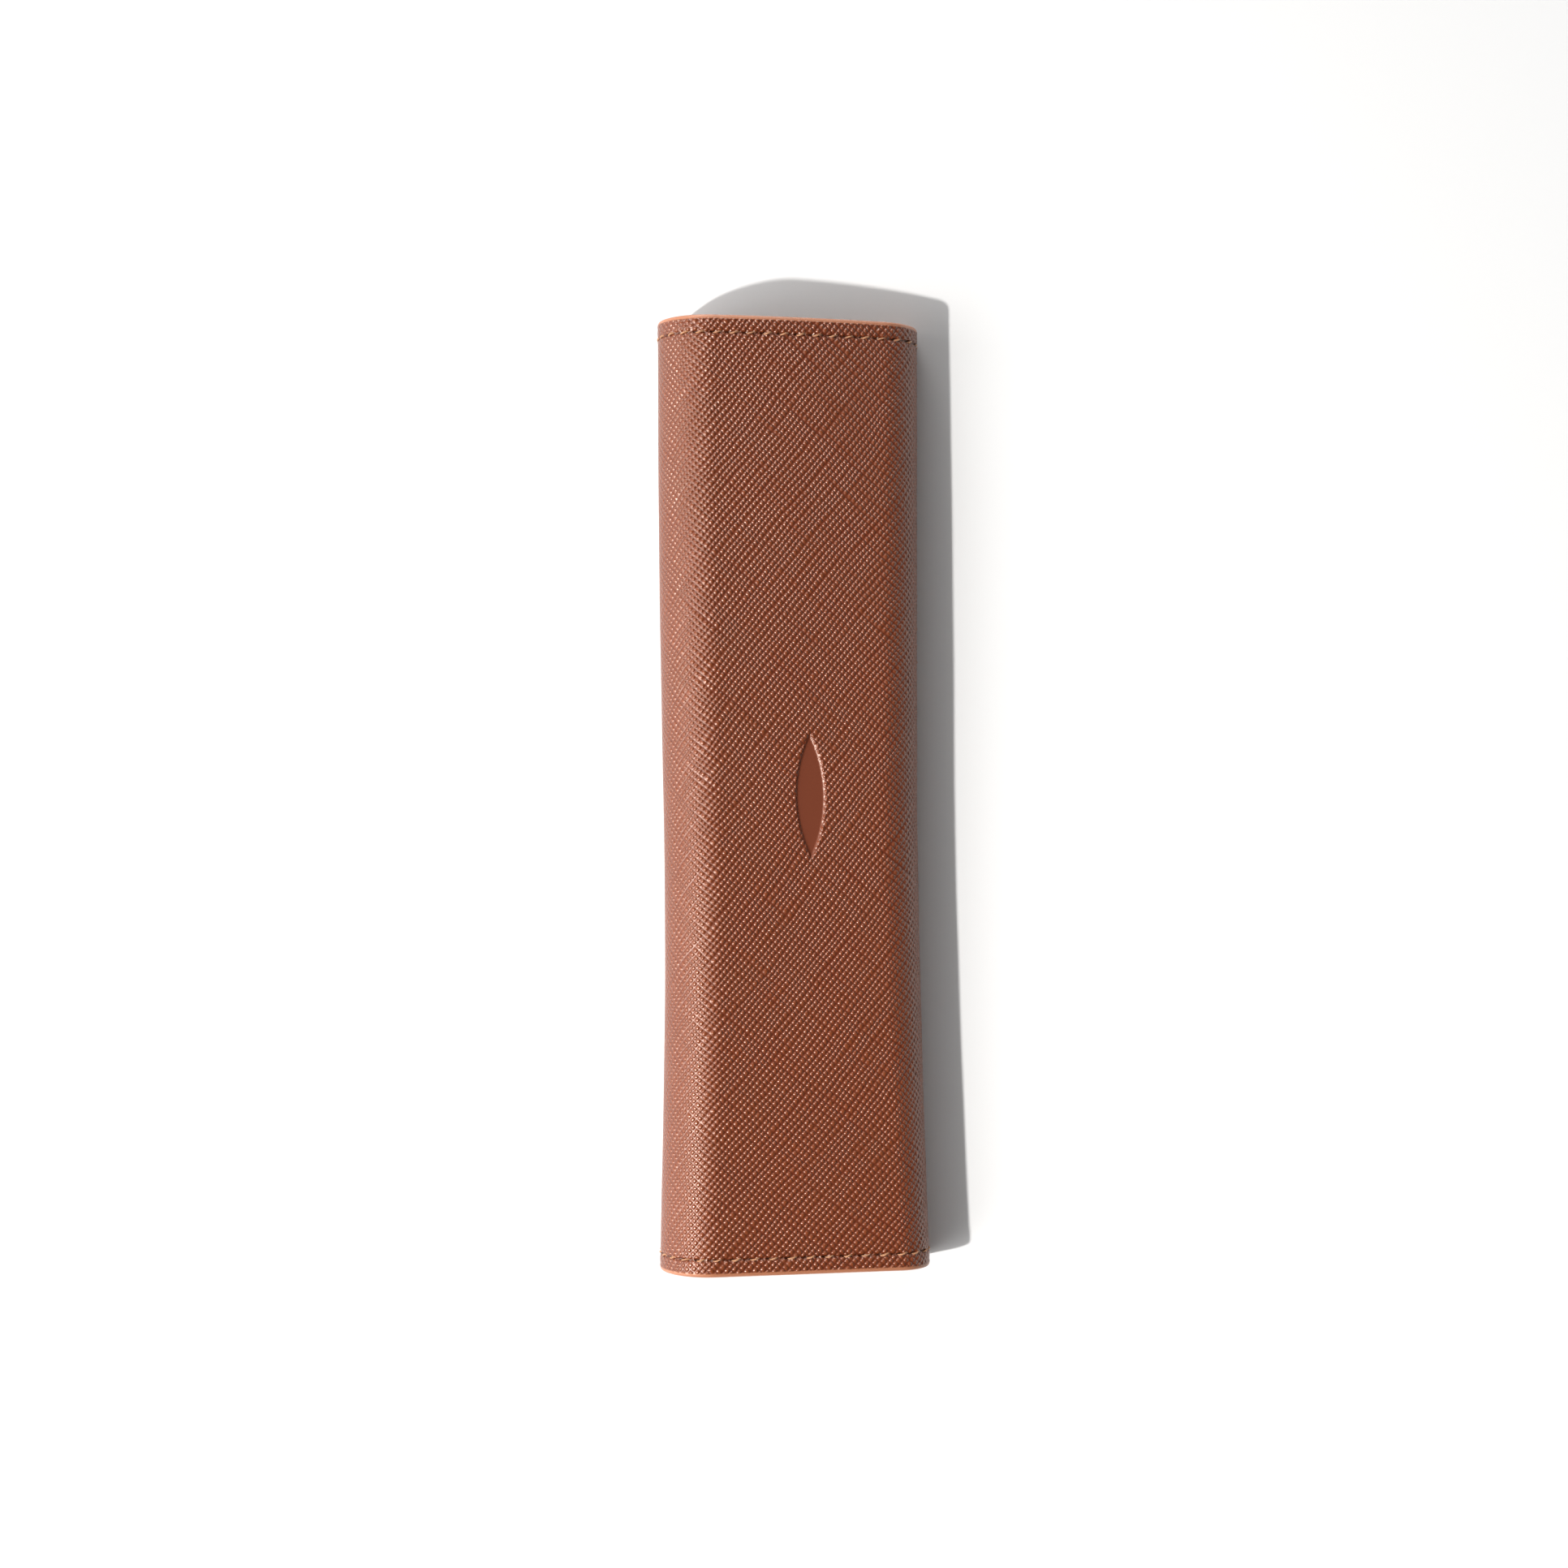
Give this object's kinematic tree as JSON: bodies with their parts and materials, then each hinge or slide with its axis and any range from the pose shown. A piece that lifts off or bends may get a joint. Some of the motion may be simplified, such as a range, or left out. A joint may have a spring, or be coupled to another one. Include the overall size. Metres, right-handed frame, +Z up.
{
  "type": "fountain pen case",
  "caption": "Wrap-around leather case with a rounded spine, a magnetic closing lip, pen sleeves and elastic loops inside.",
  "frame": {"origin": "centre of the closed case on the surface that it lies on", "axes": "+X from the spine to the closing lip, +Y along the pens towards the mouths of the sleeves, +Z up through the cover"},
  "size_m": [0.047, 0.17, 0.02],
  "materials": {
    "saffiano_leather": "cognac brown, cross-hatch embossed, satin",
    "smooth_leather": "smooth, satin",
    "suede_lining": "napped suede",
    "fibre_board": "bonded leather board",
    "fleece_padding": "felted fleece",
    "woven_elastic": "woven elastic tape",
    "waxed_thread": "waxed polyester thread",
    "nickel_magnet": "nickel plated"
  },
  "bodies": {
    "base": {"base_leather": "saffiano_leather", "base_board": "fibre_board", "base_lining": "suede_lining", "base_head_thread": "waxed_thread", "base_foot_thread": "waxed_thread", "welt_core": "fibre_board", "welt_cover": "smooth_leather", "welt_magnet_1": "nickel_magnet", "welt_magnet_2": "nickel_magnet", "welt_magnet_3": "nickel_magnet", "left_sleeve": "suede_lining", "left_sleeve_foot": "smooth_leather", "left_sleeve_thread": "waxed_thread", "left_elastic_loop": "woven_elastic", "right_sleeve": "suede_lining", "right_sleeve_foot": "smooth_leather", "right_sleeve_thread": "waxed_thread", "right_elastic_loop": "woven_elastic"},
    "spine": {"spine_leather": "saffiano_leather", "spine_fleece": "fleece_padding", "spine_lining": "suede_lining", "spine_head_thread": "waxed_thread", "spine_foot_thread": "waxed_thread"},
    "cover": {"cover_leather": "saffiano_leather", "cover_board": "fibre_board", "cover_lining": "suede_lining", "cover_head_thread": "waxed_thread", "cover_foot_thread": "waxed_thread"},
    "lip": {"lip_leather": "saffiano_leather", "lip_stiffener": "fibre_board", "lip_lining": "suede_lining", "lip_head_thread": "waxed_thread", "lip_foot_thread": "waxed_thread", "lip_edge_thread": "waxed_thread", "lip_magnet_1": "nickel_magnet", "lip_magnet_2": "nickel_magnet", "lip_magnet_3": "nickel_magnet"}
  },
  "joints": [
    {"name": "spine_fold", "type": "hinge", "parent": "base", "child": "spine", "pos_m": [-0.02113, 0, 0.00232], "axis": [0, -1, 0], "range_deg": [0, 90]},
    {"name": "cover_fold", "type": "hinge", "parent": "spine", "child": "cover", "pos_m": [-0.02063, 0, 0.01848], "axis": [0, -1, 0], "range_deg": [0, 100.9]},
    {"name": "lip_fold", "type": "hinge", "parent": "cover", "child": "lip", "pos_m": [0.0217, 0, 0.01142], "axis": [0, -1, 0], "range_deg": [0, 66]}
  ],
  "couplings": [
    {"joint": "cover_fold", "follows": "spine_fold", "ratio": 1.1211}
  ]
}
